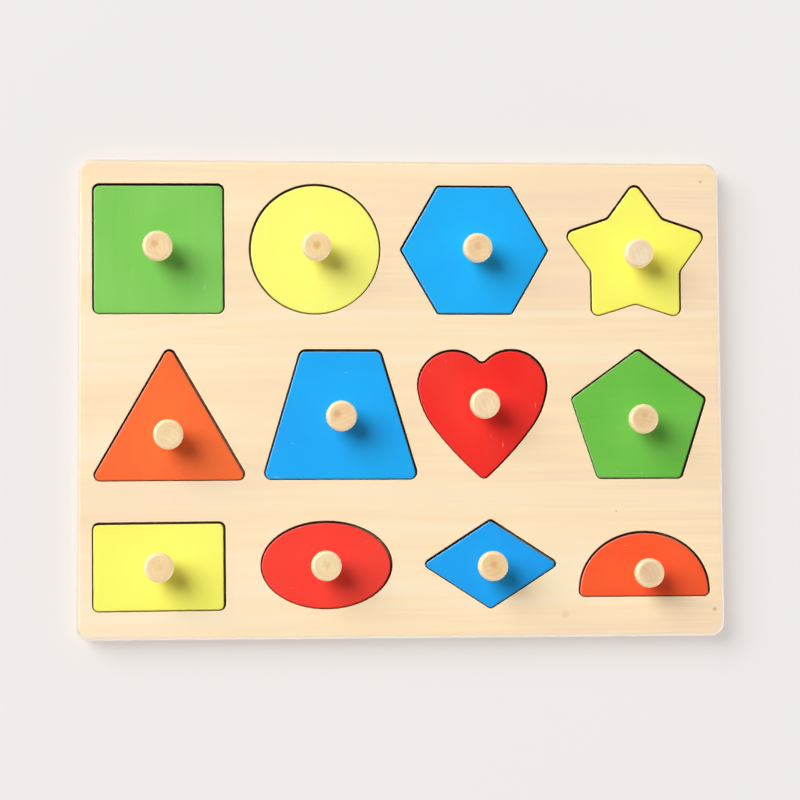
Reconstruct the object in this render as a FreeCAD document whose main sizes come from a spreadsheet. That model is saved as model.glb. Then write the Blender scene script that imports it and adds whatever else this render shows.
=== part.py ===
# Peg puzzle for small children: a flat wooden board with twelve recesses of plain geometric
# shapes, a loose painted piece lying in each recess, and a turned knob glued into each piece.
# The board is a cut-out frame glued on a thin backing. Lengths are in millimetres and turns in
# degrees. X runs along the board's long side, Y towards its back edge and Z up, and the origin
# is the centre of the underside.

import FreeCAD, Part
import math
import os
import re
import Sketcher

doc = FreeCAD.newDocument("PegPuzzle")
sheet = doc.addObject("Spreadsheet::Sheet", "Sizes")

# Driving dimensions
sizes = {
    # the board: the wood left beside and between the recesses of the fullest row and column
    "wood_along": 27.05,
    "wood_across": 56.25,
    "board_corner_radius": 6.5,
    "board_edge_round": 2.0,
    "frame_thickness": 6.0,
    "backing_thickness": 3.0,
    "backing_edge_round": 1.0,
    "recess_edge_round": 0.3,
    "cut_overrun": 1.0,
    # what all the pieces share: their gap to the recess, how far they lie below its edge
    "piece_clearance": 0.68,
    "piece_sink": 0.3,
    "piece_edge_round": 0.6,
    # the knob, from its seat on the piece
    "knob_height": 13.0,
    "knob_head_thickness": 5.5,
    "knob_head_diameter": 13.7,
    "knob_rim_round": 1.8,
    "knob_neck_diameter": 8.2,
    "knob_foot_diameter": 9.8,
    "tenon_diameter": 6.0,
    "tenon_clearance": 0.05,
    "tenon_end_room": 0.4,
    "tenon_floor": 1.1,
    # the recesses, as their sharp outlines and the radii that round them
    "square_side": 60.9,
    "square_corner_radius": 3.35,
    "circle_radius": 30.6,
    "hexagon_radius": 35.05,
    "hexagon_corner_radius": 2.1,
    "star_tip_reach": 36.45,
    "star_valley_reach": 22.65,
    "star_tip_radius": 3.75,
    "star_valley_radius": 3.5,
    "triangle_base": 73.95,
    "triangle_height": 63.95,
    "triangle_corner_radius": 3.1,
    "trapezium_top": 37.6,
    "trapezium_base": 73.3,
    "trapezium_height": 60.55,
    "trapezium_corner_radius": 3.55,
    "heart_lobe_radius": 16.9,
    "heart_notch_depth": 6.95,
    "heart_side_radius": 37.8,
    "heart_side_start": 2.6,
    "heart_flank_radius": 153.2,
    "heart_flank_start": 19.35,
    "heart_tip_radius": 2.85,
    "heart_notch_radius": 2.35,
    "pentagon_radius": 33.95,
    "pentagon_corner_radius": 2.6,
    "rectangle_length": 61.0,
    "rectangle_width": 40.9,
    "rectangle_corner_radius": 3.1,
    "oval_length": 60.8,
    "oval_width": 40.7,
    "rhombus_length": 65.1,
    "rhombus_width": 42.1,
    "rhombus_corner_radius": 2.4,
    "semicircle_width": 61.6,
    "semicircle_height": 30.5,
    "semicircle_spring_height": 3.2,
    "semicircle_foot_radius": 2.8,
}

# Shares of the ledge under a knob's head that its rounded lip and its hollow cove take up
knob_shares = {
    "knob_lip_share": 0.45,
    "knob_cove_share": 0.5,
}

# Sizes that follow from the driving ones
derived = {
    "piece_thickness": "frame_thickness - piece_sink",
    "tenon_length": "piece_thickness - tenon_floor - tenon_end_room",
    "knob_underside": "knob_height - knob_head_thickness",
    "knob_ledge": "(knob_head_diameter - knob_neck_diameter) / 2",
    "knob_lip_round": "knob_ledge * knob_lip_share",
    "knob_cove_radius": "knob_ledge * knob_cove_share",
    "star_side_reach": "star_tip_reach * star_valley_reach * sin(36 deg)"
                       " / sqrt(star_tip_reach ^ 2 + star_valley_reach ^ 2"
                       " - 2 * star_tip_reach * star_valley_reach * cos(36 deg))",
    "triangle_side": "sqrt((triangle_base / 2) ^ 2 + triangle_height ^ 2)",
    "triangle_inradius": "triangle_base * triangle_height / (triangle_base + 2 * triangle_side)",
    "trapezium_slope": "(trapezium_base - trapezium_top) / 2 / trapezium_height",
    "rhombus_inradius": "rhombus_length * rhombus_width / 2"
                        " / sqrt(rhombus_length ^ 2 + rhombus_width ^ 2)",
    "heart_lobe_offset": "sqrt(heart_lobe_radius ^ 2"
                         " - (heart_lobe_radius - heart_notch_depth) ^ 2)",
    "heart_side_sine": "heart_side_start / heart_lobe_radius",
    "heart_side_rise": "(heart_side_radius - heart_lobe_radius) * heart_side_sine",
    "heart_flank_sine": "(heart_flank_start + heart_side_rise) / heart_side_radius",
    "heart_side_x": "heart_lobe_offset"
                    " - (heart_side_radius - heart_lobe_radius) * sqrt(1 - heart_side_sine ^ 2)",
    "heart_flank_x": "heart_side_x"
                     " - (heart_flank_radius - heart_side_radius) * sqrt(1 - heart_flank_sine ^ 2)",
    "heart_flank_y": "heart_side_rise"
                     " + (heart_flank_radius - heart_side_radius) * heart_flank_sine",
    "heart_point_drop": "sqrt(heart_flank_radius ^ 2 - heart_flank_x ^ 2) - heart_flank_y",
}

# How far each outline reaches from its own origin: to either side, up and down
reaches = {
    "square": ("square_side / 2", "square_side / 2", "square_side / 2"),
    "circle": ("circle_radius", "circle_radius", "circle_radius"),
    "hexagon": ("hexagon_radius", "hexagon_radius * cos(30 deg)", "hexagon_radius * cos(30 deg)"),
    "star": ("star_tip_reach * cos(18 deg)", "star_tip_reach", "star_tip_reach * cos(36 deg)"),
    "triangle": ("triangle_base / 2", "triangle_height - triangle_inradius", "triangle_inradius"),
    "trapezium": ("trapezium_base / 2", "trapezium_height / 2", "trapezium_height / 2"),
    "heart": ("heart_lobe_offset + heart_lobe_radius", "heart_lobe_radius", "heart_point_drop"),
    "pentagon": ("pentagon_radius * cos(18 deg)", "pentagon_radius",
                 "pentagon_radius * cos(36 deg)"),
    "rectangle": ("rectangle_length / 2", "rectangle_width / 2", "rectangle_width / 2"),
    "oval": ("oval_length / 2", "oval_width / 2", "oval_width / 2"),
    "rhombus": ("rhombus_length / 2", "rhombus_width / 2", "rhombus_width / 2"),
    "semicircle": ("semicircle_width / 2", "semicircle_height", "0"),
}

# The recesses stand in three rows, from the back edge, and each row runs from the left
rows = {
    "back_row": ("square", "circle", "hexagon", "star"),
    "middle_row": ("triangle", "trapezium", "heart", "pentagon"),
    "front_row": ("rectangle", "oval", "rhombus", "semicircle"),
}
columns = dict(zip(("left_column", "inner_left_column", "inner_right_column", "right_column"),
                   zip(*rows.values())))

# Where each recess lies, as the shares of its row's free wood that are left of it and of its
# column's free wood that are above it, and how far it is turned. A hand-cut board isn't quite
# regular. The pieces have slid a little in their recesses, by these shares of the clearance, and
# the knobs stand by these shares of the size that is named last beside the middle of each outline.
layout = {
    "square": {"place_shares": (0.1778, 0.1999), "turn": 0.3, "drift_shares": (0.05, -0.55),
               "knob_shares": (-0.003, 0.004), "knob_size": "square_side"},
    "circle": {"place_shares": (0.4703, 0.1855), "turn": 0, "drift_shares": (0.4, -0.4),
               "knob_shares": (0.003, 0.008), "knob_size": "circle_radius"},
    "hexagon": {"place_shares": (0.7008, 0.1975), "turn": 0, "drift_shares": (0.3, -0.1),
                "knob_shares": (0.009, -0.006), "knob_size": "hexagon_radius"},
    "star": {"place_shares": (0.8639, 0.1257), "turn": 0, "drift_shares": (0.25, -0.5),
             "knob_shares": (-0.009, 0.017), "knob_size": "star_tip_reach"},
    "triangle": {"place_shares": (0.2024, 0.4341), "turn": 0.2, "drift_shares": (-0.1, -0.55),
                 "knob_shares": (-0.0045, 0), "knob_size": "triangle_height"},
    "trapezium": {"place_shares": (0.3974, 0.4565), "turn": 0, "drift_shares": (-0.05, -0.55),
                  "knob_shares": (-0.002, -0.016), "knob_size": "trapezium_height"},
    "heart": {"place_shares": (0.3582, 0.4761), "turn": 0.6, "drift_shares": (-0.15, -0.5),
              "knob_shares": (-0.004, -0.523), "knob_size": "heart_lobe_radius"},
    "pentagon": {"place_shares": (0.7486, 0.3369), "turn": 0, "drift_shares": (-0.3, -0.35),
                 "knob_shares": (0.013, 0.006), "knob_size": "pentagon_radius"},
    "rectangle": {"place_shares": (0.1417, 0.768), "turn": 0.4, "drift_shares": (-0.3, -0.55),
                  "knob_shares": (0.009, 0), "knob_size": "rectangle_width"},
    "oval": {"place_shares": (0.4505, 0.7732), "turn": 0, "drift_shares": (-0.25, -0.5),
             "knob_shares": (-0.011, -0.001), "knob_size": "oval_width"},
    "rhombus": {"place_shares": (0.7037, 0.7776), "turn": -0.2, "drift_shares": (0.05, -0.55),
                "knob_shares": (-0.003, -0.015), "knob_size": "rhombus_width"},
    "semicircle": {"place_shares": (0.8687, 0.7145), "turn": 0, "drift_shares": (0.1, -0.6),
                   "knob_shares": (0.016, 0.374), "knob_size": "semicircle_height"},
}


def board_cells():
    # the board is as long as its fullest row and as wide as its fullest column, with their wood
    cells = {}
    for name, (aside, up, down) in reaches.items():
        cells[f"{name}_reach_aside"] = f"={aside}"
        cells[f"{name}_reach_up"] = f"={up}"
        cells[f"{name}_reach_down"] = f"={down}"
    for row_name, names in rows.items():
        cells[f"{row_name}_filled"] = "=" + " + ".join(f"2 * {name}_reach_aside" for name in names)
    for column_name, names in columns.items():
        cells[f"{column_name}_filled"] = "=" + " + ".join(
            f"{name}_reach_up + {name}_reach_down" for name in names)
    row_lengths = "; ".join(f"{row_name}_filled" for row_name in rows)
    column_heights = "; ".join(f"{column_name}_filled" for column_name in columns)
    cells["board_length"] = f"=max({row_lengths}) + wood_along"
    cells["board_width"] = f"=max({column_heights}) + wood_across"
    return cells


def place_cells():
    # a recess comes after the recesses before it and its share of the free wood
    cells = {}
    for row_name, names in rows.items():
        for index, name in enumerate(names):
            share = layout[name]["place_shares"][0]
            before = "".join(f" + 2 * {other}_reach_aside" for other in names[:index])
            cells[f"{name}_x"] = (f"=-board_length / 2{before} + {name}_reach_aside"
                                  f" + {share} * (board_length - {row_name}_filled)")
    for column_name, names in columns.items():
        for index, name in enumerate(names):
            share = layout[name]["place_shares"][1]
            before = "".join(f" - {other}_reach_up - {other}_reach_down" for other in names[:index])
            cells[f"{name}_y"] = (f"=board_width / 2{before} - {name}_reach_up"
                                  f" - {share} * (board_width - {column_name}_filled)")
    return cells


def insert_cells():
    # how each piece lies in its recess, and where its knob stands on it
    cells = {}
    for name, spot in layout.items():
        for axis, drift, knob in zip(("x", "y"), spot["drift_shares"], spot["knob_shares"]):
            cells[f"{name}_drift_{axis}"] = f"=piece_clearance * ({drift})"
            cells[f"{name}_knob_{axis}"] = f"={spot['knob_size']} * ({knob})"
        cells[f"{name}_turn"] = f"{spot['turn']}"
    return cells


def fill_sheet():
    cells = {name: f"{value}" for name, value in {**sizes, **knob_shares}.items()}
    cells.update({name: f"={formula}" for name, formula in derived.items()})
    cells.update(board_cells())
    cells.update(place_cells())
    cells.update(insert_cells())
    for row, (name, content) in enumerate(cells.items(), start=1):
        sheet.set(f"A{row}", name)
        sheet.set(f"B{row}", content)
        sheet.setAlias(f"B{row}", name)
    doc.recompute()


def size_of(name):
    return float(sheet.get(name))


def from_sheet(formula):
    # every word with an underscore is the name of a size in the sheet
    return re.sub(r"[a-z]+(_[a-z]+)+", lambda word: "Sizes." + word.group(), formula)


def bind(feature, target, formula):
    feature.setExpression(target, from_sheet(formula))


# Sketches
upward = FreeCAD.Vector(0, 0, 1)


def point(x, y):
    return FreeCAD.Vector(x, y, 0)


def new_body(name):
    body = doc.addObject("PartDesign::Body", name)
    body.Label = name
    return body


def new_sketch(body, name, plane_role="XY_Plane"):
    sketch = body.newObject("Sketcher::SketchObject", name)
    plane = [feature for feature in body.Origin.OriginFeatures if feature.Role == plane_role][0]
    sketch.AttachmentSupport = [(plane, "")]
    sketch.MapMode = "FlatFace"
    return sketch


def constrain(sketch, kind, *places, formula=None, start=1.0):
    # a constraint, and the formula that it follows if it has a value
    if formula is None:
        return sketch.addConstraint(Sketcher.Constraint(kind, *places))
    number = sketch.addConstraint(Sketcher.Constraint(kind, *places, start))
    bind(sketch, f"Constraints[{number}]", formula)
    return number


def draw_polygon(sketch, corners):
    # corners: formulas for x and y, counterclockwise; the sketch starts on a unit circle
    count = len(corners)
    angles = [2 * math.pi * index / count for index in range(count)]
    starts = [point(math.cos(angle), math.sin(angle)) for angle in angles]
    for index in range(count):
        sketch.addGeometry(Part.LineSegment(starts[index], starts[(index + 1) % count]))
    for index, (x, y) in enumerate(corners):
        constrain(sketch, "Coincident", index - 1 if index else count - 1, 2, index, 1)
        constrain(sketch, "DistanceX", -1, 1, index, 1, formula=x, start=starts[index].x)
        constrain(sketch, "DistanceY", -1, 1, index, 1, formula=y, start=starts[index].y)


def ring_corners(reaches, first_turn):
    # corners spread evenly round the origin, each at its own reach
    turns = [first_turn + 360 * index / len(reaches) for index in range(len(reaches))]
    return [(f"{reach} * cos({turn} deg)", f"{reach} * sin({turn} deg)")
            for reach, turn in zip(reaches, turns)]


def box_corners(half_length, half_width):
    return [(f"{half_length}", f"{half_width}"), (f"-{half_length}", f"{half_width}"),
            (f"-{half_length}", f"-{half_width}"), (f"{half_length}", f"-{half_width}")]


def arc(centre_x, centre_y, radius, first, last):
    circle = Part.Circle(point(centre_x, centre_y), upward, radius)
    return Part.ArcOfCircle(circle, first, last)


# Outlines of the recesses; the pieces are the same outlines, set in by the clearance
def draw_square(sketch, inset):
    half = f"(square_side / 2 - {inset})"
    draw_polygon(sketch, box_corners(half, half))


def draw_circle(sketch, inset):
    sketch.addGeometry(Part.Circle(point(0, 0), upward, size_of("circle_radius")))
    constrain(sketch, "Coincident", 0, 3, -1, 1)
    constrain(sketch, "Radius", 0, formula=f"circle_radius - {inset}", start=size_of("circle_radius"))


def draw_hexagon(sketch, inset):
    draw_polygon(sketch, ring_corners([f"(hexagon_radius - {inset} / cos(30 deg))"] * 6, 0))


def draw_star(sketch, inset):
    left = f"(1 - {inset} / star_side_reach)"
    reaches = [f"star_tip_reach * {left}", f"star_valley_reach * {left}"] * 5
    draw_polygon(sketch, ring_corners(reaches, 90))


def draw_triangle(sketch, inset):
    # the origin is the centre of the circle that touches all three sides
    left = f"(1 - {inset} / triangle_inradius)"
    draw_polygon(sketch, [
        ("0", f"(triangle_height - triangle_inradius) * {left}"),
        (f"-triangle_base / 2 * {left}", f"-triangle_inradius * {left}"),
        (f"triangle_base / 2 * {left}", f"-triangle_inradius * {left}")])


def draw_trapezium(sketch, inset):
    # the sloping sides move in by the inset too, which shortens both level sides
    side_loss = f"{inset} * sqrt(1 + trapezium_slope ^ 2)"
    level_shift = f"{inset} * trapezium_slope"
    top = f"(trapezium_top / 2 + {level_shift} - {side_loss})"
    base = f"(trapezium_base / 2 - {level_shift} - {side_loss})"
    rise = f"(trapezium_height / 2 - {inset})"
    draw_polygon(sketch, [(top, rise), (f"-{top}", rise), (f"-{base}", f"-{rise}"),
                          (base, f"-{rise}")])


def draw_heart(sketch, inset):
    # the origin lies between the centres of the two lobes; each half has three tangent arcs
    set_in = 0 if inset == "0" else size_of(inset)
    lobe = size_of("heart_lobe_radius") - set_in
    side = size_of("heart_side_radius") - set_in
    flank = size_of("heart_flank_radius") - set_in
    lobe_x = size_of("heart_lobe_offset")
    side_angle = math.asin(size_of("heart_side_sine"))
    flank_angle = math.asin(size_of("heart_flank_sine"))
    side_x = lobe_x - (side - lobe) * math.cos(side_angle)
    side_y = (side - lobe) * math.sin(side_angle)
    flank_x = side_x - (flank - side) * math.cos(flank_angle)
    flank_y = side_y + (flank - side) * math.sin(flank_angle)
    tip_angle = -math.acos(-flank_x / flank)
    notch_angle = math.acos(-lobe_x / lobe)
    right_arcs = [(flank_x, flank_y, flank, tip_angle, -flank_angle),
                  (side_x, side_y, side, -flank_angle, -side_angle),
                  (lobe_x, 0, lobe, -side_angle, notch_angle)]
    left_arcs = [(-x, y, radius, math.pi - last, math.pi - first)
                 for x, y, radius, first, last in reversed(right_arcs)]
    for values in right_arcs + left_arcs:
        sketch.addGeometry(arc(*values))
    for joint in ("Tangent", "Tangent", "Coincident", "Tangent", "Tangent", "Coincident"):
        here = sketch.ConstraintCount
        constrain(sketch, joint, here, 2, (here + 1) % 6, 1)
    radius_names = ["heart_flank_radius", "heart_side_radius", "heart_lobe_radius"]
    for index, name in enumerate(radius_names + radius_names[::-1]):
        constrain(sketch, "Radius", index, formula=f"{name} - {inset}",
                  start=sketch.Geometry[index].Radius)
    side_level = f"-(heart_side_start - {inset} * heart_side_sine)"
    flank_level = f"-(heart_flank_start - {inset} * heart_flank_sine)"
    side_level_start = -lobe * math.sin(side_angle)
    flank_level_start = side_y - side * math.sin(flank_angle)
    for lobe_arc, hand, side_arc, upper_end, lower_end in ((2, "", 1, 2, 1), (3, "-", 4, 1, 2)):
        constrain(sketch, "PointOnObject", lobe_arc, 3, -1)
        constrain(sketch, "DistanceX", -1, 1, lobe_arc, 3, formula=f"{hand}heart_lobe_offset",
                  start=lobe_x if hand == "" else -lobe_x)
        constrain(sketch, "DistanceY", -1, 1, side_arc, upper_end, formula=side_level,
                  start=side_level_start)
        constrain(sketch, "DistanceY", -1, 1, side_arc, lower_end, formula=flank_level,
                  start=flank_level_start)


def draw_pentagon(sketch, inset):
    draw_polygon(sketch, ring_corners([f"(pentagon_radius - {inset} / cos(36 deg))"] * 5, 90))


def draw_rectangle(sketch, inset):
    draw_polygon(sketch, box_corners(f"(rectangle_length / 2 - {inset})",
                                     f"(rectangle_width / 2 - {inset})"))


def draw_oval(sketch, inset):
    half_length = size_of("oval_length") / 2
    half_width = size_of("oval_width") / 2
    oval = sketch.addGeometry(Part.Ellipse(point(half_length, 0), point(0, half_width), point(0, 0)))
    sketch.exposeInternalGeometry(oval)
    long_axis, short_axis = oval + 1, oval + 2
    constrain(sketch, "Coincident", oval, 3, -1, 1)
    constrain(sketch, "Horizontal", long_axis)
    constrain(sketch, "Distance", long_axis, formula=f"oval_length - 2 * {inset}",
              start=2 * half_length)
    constrain(sketch, "Distance", short_axis, formula=f"oval_width - 2 * {inset}",
              start=2 * half_width)


def draw_rhombus(sketch, inset):
    left = f"(1 - {inset} / rhombus_inradius)"
    draw_polygon(sketch, [
        (f"rhombus_length / 2 * {left}", "0"), ("0", f"rhombus_width / 2 * {left}"),
        (f"-rhombus_length / 2 * {left}", "0"), ("0", f"-rhombus_width / 2 * {left}")])


def draw_semicircle(sketch, inset):
    # a slightly flattened arch, half an oval, on short upright sides and a straight base; the
    # origin is the middle of the base
    set_in = 0 if inset == "0" else size_of(inset)
    half = size_of("semicircle_width") / 2 - set_in
    spring = size_of("semicircle_spring_height")
    rise = size_of("semicircle_height") - spring - set_in
    lying = half > rise
    crown, right_end, left_end = point(0, spring + rise), point(half, spring), point(-half, spring)
    oval = Part.Ellipse(*((right_end, crown) if lying else (crown, left_end)), point(0, spring))
    first = 0 if lying else -math.pi / 2
    sketch.addGeometry(Part.LineSegment(point(-half, set_in), point(half, set_in)))
    sketch.addGeometry(Part.LineSegment(point(half, set_in), right_end))
    arch = sketch.addGeometry(Part.ArcOfEllipse(oval, first, first + math.pi))
    sketch.addGeometry(Part.LineSegment(left_end, point(-half, set_in)))
    sketch.exposeInternalGeometry(arch)
    long_axis, short_axis = arch + 2, arch + 3
    for edge, after in ((0, 1), (1, arch), (arch, 3), (3, 0)):
        constrain(sketch, "Coincident", edge, 2, after, 1)
    constrain(sketch, "Horizontal", 0)
    constrain(sketch, "Vertical", 1)
    constrain(sketch, "Vertical", 3)
    constrain(sketch, "Horizontal" if lying else "Vertical", long_axis)
    constrain(sketch, "Distance", short_axis if lying else long_axis, start=2 * rise,
              formula=f"2 * (semicircle_height - semicircle_spring_height - {inset})")
    constrain(sketch, "DistanceY", -1, 1, arch, 3, formula="semicircle_spring_height", start=spring)
    constrain(sketch, "DistanceY", -1, 1, 0, 1, formula=inset, start=set_in)
    for side, hand, upper_end in ((1, "", 2), (3, "-", 1)):
        constrain(sketch, "DistanceX", -1, 1, side, upper_end, start=half if hand == "" else -half,
                  formula=f"{hand}(semicircle_width / 2 - {inset})")
        constrain(sketch, "DistanceY", -1, 1, side, upper_end, start=spring,
                  formula="semicircle_spring_height")


# Each outline with the radii of its corners that point out and, on two of them, point in
outlines = {
    "square": (draw_square, "square_corner_radius", None),
    "circle": (draw_circle, None, None),
    "hexagon": (draw_hexagon, "hexagon_corner_radius", None),
    "star": (draw_star, "star_tip_radius", "star_valley_radius"),
    "triangle": (draw_triangle, "triangle_corner_radius", None),
    "trapezium": (draw_trapezium, "trapezium_corner_radius", None),
    "heart": (draw_heart, "heart_tip_radius", "heart_notch_radius"),
    "pentagon": (draw_pentagon, "pentagon_corner_radius", None),
    "rectangle": (draw_rectangle, "rectangle_corner_radius", None),
    "oval": (draw_oval, None, None),
    "rhombus": (draw_rhombus, "rhombus_corner_radius", None),
    "semicircle": (draw_semicircle, "semicircle_foot_radius", None),
}


# Solids
same_place = 1e-6
smooth_turn = math.radians(5)
near_share = 0.01


def add_pad(body, sketch, height):
    pad = body.newObject("PartDesign::Pad", f"{body.Label}_slab")
    pad.Profile = sketch
    bind(pad, "Length", height)
    doc.recompute()
    return pad


def add_fillet(body, name, edge_names, radius):
    base = body.Tip
    fillet = body.newObject("PartDesign::Fillet", f"{body.Label}_{name}")
    fillet.Base = (base, edge_names)
    bind(fillet, "Radius", radius)
    doc.recompute()
    return fillet


def edge_names_where(shape, wanted):
    return [f"Edge{index}" for index, edge in enumerate(shape.Edges, start=1) if wanted(edge)]


def is_upright(edge):
    return max(edge.BoundBox.XLength, edge.BoundBox.YLength) < same_place


def corner_kind(shape, edge):
    # an upright edge is smooth, or a corner that points out or in
    middle = edge.valueAt((edge.FirstParameter + edge.LastParameter) / 2)
    faces = shape.ancestorsOfType(edge, Part.Face)
    normals = [face.normalAt(*face.Surface.parameter(middle)) for face in faces]
    if normals[0].getAngle(normals[1]) < smooth_turn:
        return "smooth"
    aims = [face.CenterOfMass - middle for face in faces]
    near = edge.Length * near_share
    between = middle + (aims[0].normalize() + aims[1].normalize()) * near
    return "out" if shape.isInside(between, near * near_share, False) else "in"


def lies_at(item, height):
    box = item.BoundBox
    return abs(box.ZMin - height) < same_place and abs(box.ZMax - height) < same_place


def block(name, shape_name, inset, height):
    # a slab with the outline of one shape and its upright corners rounded
    body = new_body(name)
    sketch = new_sketch(body, f"{name}_outline")
    draw, outward_radius, inward_radius = outlines[shape_name]
    draw(sketch, inset)
    add_pad(body, sketch, height)
    for kind, radius, formula in (("out", outward_radius, f"{outward_radius} - {inset}"),
                                  ("in", inward_radius, f"{inward_radius} + {inset}")):
        if radius is None:
            continue
        slab = body.Tip.Shape
        names = edge_names_where(slab, lambda edge: is_upright(edge) and corner_kind(slab, edge) == kind)
        add_fillet(body, f"{kind}ward_corners", names, formula)
    return body


def board_layer(name, thickness):
    body = new_body(name)
    sketch = new_sketch(body, f"{name}_outline")
    draw_polygon(sketch, box_corners("board_length / 2", "board_width / 2"))
    add_pad(body, sketch, thickness)
    add_fillet(body, "corners", edge_names_where(body.Tip.Shape, is_upright), "board_corner_radius")
    return body


def make_backing_board():
    body = board_layer("backing_board", "backing_thickness")
    names = edge_names_where(body.Tip.Shape, lambda edge: lies_at(edge, 0))
    add_fillet(body, "lower_edge", names, "backing_edge_round")
    return body


def make_frame_board():
    # a slab with a rounded upper edge and a through cut for each recess
    body = board_layer("frame_board", "frame_thickness")
    top = size_of("frame_thickness")
    names = edge_names_where(body.Tip.Shape, lambda edge: lies_at(edge, top))
    add_fillet(body, "upper_edge", names, "board_edge_round")
    cutters = []
    for shape_name in outlines:
        cutter = block(f"{shape_name}_cutter", shape_name, "0", "frame_thickness + 2 * cut_overrun")
        bind(cutter, "Placement.Base.x", f"{shape_name}_x")
        bind(cutter, "Placement.Base.y", f"{shape_name}_y")
        bind(cutter, "Placement.Base.z", "-cut_overrun")
        bind(cutter, "Placement.Rotation.Angle", f"{shape_name}_turn * 1 deg")
        cutters.append(cutter)
    doc.recompute()
    cuts = body.newObject("PartDesign::Boolean", "recesses")
    cuts.setObjects(cutters)
    cuts.Type = "Cut"
    doc.recompute()
    face = [face for face in cuts.Shape.Faces if lies_at(face, top)][0]
    mouths = [edge for wire in face.Wires if not wire.isSame(face.OuterWire) for edge in wire.Edges]
    names = edge_names_where(cuts.Shape, lambda edge: any(edge.isSame(mouth) for mouth in mouths))
    add_fillet(body, "recess_mouths", names, "recess_edge_round")
    bind(body, "Placement.Base.z", "backing_thickness")
    return body


def make_piece(shape_name):
    # a slab that fits its recess, softened along both outlines, with a blind hole for the knob
    body = block(f"{shape_name}_piece", shape_name, "piece_clearance", "piece_thickness")
    top = size_of("piece_thickness")
    names = edge_names_where(body.Tip.Shape, lambda edge: lies_at(edge, top) or lies_at(edge, 0))
    add_fillet(body, "softened_edges", names, "piece_edge_round")
    sketch = new_sketch(body, f"{shape_name}_knob_hole_outline")
    bind(sketch, "AttachmentOffset.Base.x", f"{shape_name}_knob_x")
    bind(sketch, "AttachmentOffset.Base.y", f"{shape_name}_knob_y")
    bind(sketch, "AttachmentOffset.Base.z", "piece_thickness")
    hole_radius = size_of("tenon_diameter") / 2
    sketch.addGeometry(Part.Circle(point(0, 0), upward, hole_radius))
    constrain(sketch, "Coincident", 0, 3, -1, 1)
    constrain(sketch, "Radius", 0, formula="tenon_diameter / 2 + tenon_clearance", start=hole_radius)
    hole = body.newObject("PartDesign::Pocket", f"{shape_name}_knob_hole")
    hole.Profile = sketch
    bind(hole, "Length", "tenon_length + tenon_end_room")
    bind(body, "Placement.Base.x", f"{shape_name}_x + {shape_name}_drift_x")
    bind(body, "Placement.Base.y", f"{shape_name}_y + {shape_name}_drift_y")
    bind(body, "Placement.Base.z", "backing_thickness")
    bind(body, "Placement.Rotation.Angle", f"{shape_name}_turn * 1 deg")
    return body


def make_knob(shape_name):
    # turned in one piece: tenon, tapering neck, and a head with a flat top and rounded edges
    body = new_body(f"{shape_name}_knob")
    sketch = new_sketch(body, f"{shape_name}_knob_profile", "XZ_Plane")
    draw_polygon(sketch, [
        ("0", "-tenon_length"), ("tenon_diameter / 2", "-tenon_length"),
        ("tenon_diameter / 2", "0"), ("knob_foot_diameter / 2", "0"),
        ("knob_neck_diameter / 2", "knob_underside"),
        ("knob_head_diameter / 2", "knob_underside"),
        ("knob_head_diameter / 2", "knob_height"), ("0", "knob_height")])
    turning = body.newObject("PartDesign::Revolution", f"{shape_name}_knob_turning")
    turning.Profile = sketch
    turning.ReferenceAxis = (sketch, ["V_Axis"])
    doc.recompute()
    head_radius = size_of("knob_head_diameter") / 2
    neck_radius = size_of("knob_neck_diameter") / 2
    underside = size_of("knob_underside")
    rounds = (("rim", head_radius, size_of("knob_height"), "knob_rim_round"),
              ("lip", head_radius, underside, "knob_lip_round"),
              ("cove", neck_radius, underside, "knob_cove_radius"))
    for name, radius, height, size in rounds:
        names = edge_names_where(body.Tip.Shape, lambda edge: lies_at(edge, height)
                                 and abs(edge.BoundBox.XLength / 2 - radius) < same_place)
        add_fillet(body, name, names, size)
    x, y, turn = f"{shape_name}_knob_x", f"{shape_name}_knob_y", f"({shape_name}_turn * 1 deg)"
    bind(body, "Placement.Base.x",
         f"{shape_name}_x + {shape_name}_drift_x + {x} * cos{turn} - {y} * sin{turn}")
    bind(body, "Placement.Base.y",
         f"{shape_name}_y + {shape_name}_drift_y + {x} * sin{turn} + {y} * cos{turn}")
    bind(body, "Placement.Base.z", "backing_thickness + piece_thickness")
    return body


def check_all(parts):
    for feature in doc.Objects:
        for word in ("Invalid", "Error"):
            if word in feature.State:
                raise RuntimeError(f"{feature.Label} failed: {feature.State}")
    for part in parts:
        if part.Shape.isNull() or not part.Shape.isValid() or len(part.Shape.Solids) != 1:
            raise RuntimeError(f"{part.Label} isn't one good solid")


def write_steps(parts):
    os.makedirs("parts", exist_ok=True)
    for part in parts:
        part.Shape.exportStep(f"parts/{part.Label}.step")
        print(f"{part.Label}: {part.Shape.Volume / 1000:.2f} cm3")


fill_sheet()
parts = [make_backing_board(), make_frame_board()]
parts += [make_piece(shape_name) for shape_name in outlines]
parts += [make_knob(shape_name) for shape_name in outlines]
doc.recompute()
check_all(parts)
write_steps(parts)
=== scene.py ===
import math
import random

import bpy
from mathutils import Matrix, Vector


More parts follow.
